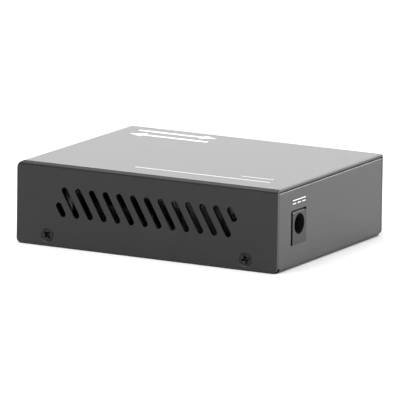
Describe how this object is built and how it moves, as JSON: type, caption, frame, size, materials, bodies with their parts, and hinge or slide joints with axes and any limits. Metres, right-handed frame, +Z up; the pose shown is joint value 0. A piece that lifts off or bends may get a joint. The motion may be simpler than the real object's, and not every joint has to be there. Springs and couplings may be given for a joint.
{
  "type": "fibre media converter",
  "caption": "Fibre media converter in a folded steel case: slanted side vents, DC jack behind, copper port, fibre module bay, mode switch and lamps in front.",
  "frame": {"origin": "middle of the underside, on the surface the converter stands on", "axes": "+X out of the side wall the picture shows, +Y out of the rear panel with the power jack, +Z up"},
  "size_m": [0.073, 0.0944, 0.027],
  "materials": {
    "case_paint": "dark charcoal powder coat, fine texture, satin",
    "screw_steel": "black oxide steel",
    "bright_steel": "plated steel",
    "board_laminate": "green solder mask",
    "black_plastic": "moulded plastic, satin",
    "jack_plastic": "moulded plastic, fine texture",
    "gold_contact": "gold plated",
    "tin_contact": "tinned",
    "lamp_lens": "diffused lens",
    "ferrite": "matt ferrite",
    "capacitor_can": "drawn can",
    "chip_ceramic": "matt ceramic",
    "knob_plastic": "moulded plastic"
  },
  "bodies": {
    "case": {"top_cover": "case_paint", "base_tray": "case_paint", "cover_screws": "screw_steel", "board_standoffs": "bright_steel", "board_screws": "bright_steel", "circuit_board": "board_laminate", "power_jack_housing": "jack_plastic", "power_jack_pin": "tin_contact", "power_jack_spring": "tin_contact", "copper_port_shield": "bright_steel", "copper_port_housing": "black_plastic", "copper_port_contacts": "gold_contact", "fibre_cage": "bright_steel", "fibre_cage_collar": "bright_steel", "fibre_connector": "black_plastic", "fibre_connector_contacts": "gold_contact", "mode_switch_frame": "bright_steel", "mode_switch_base": "black_plastic", "mode_switch_terminals": "tin_contact", "lamp_holder": "black_plastic", "lamps": "lamp_lens", "lamp_wires": "tin_contact", "converter_chip": "black_plastic", "memory_chip": "black_plastic", "line_transformer": "black_plastic", "regulator_chip": "black_plastic", "clock_crystal": "bright_steel", "power_coils": "ferrite", "bulk_capacitors": "capacitor_can", "chip_capacitors": "chip_ceramic"},
    "knob": {"mode_switch_knob": "knob_plastic", "mode_switch_wiper": "gold_contact"}
  },
  "joints": [
    {"name": "mode_switch_slide", "type": "slide", "parent": "case", "child": "knob", "axis": [1, 0, 0], "range_m": [0, 0.002]}
  ]
}
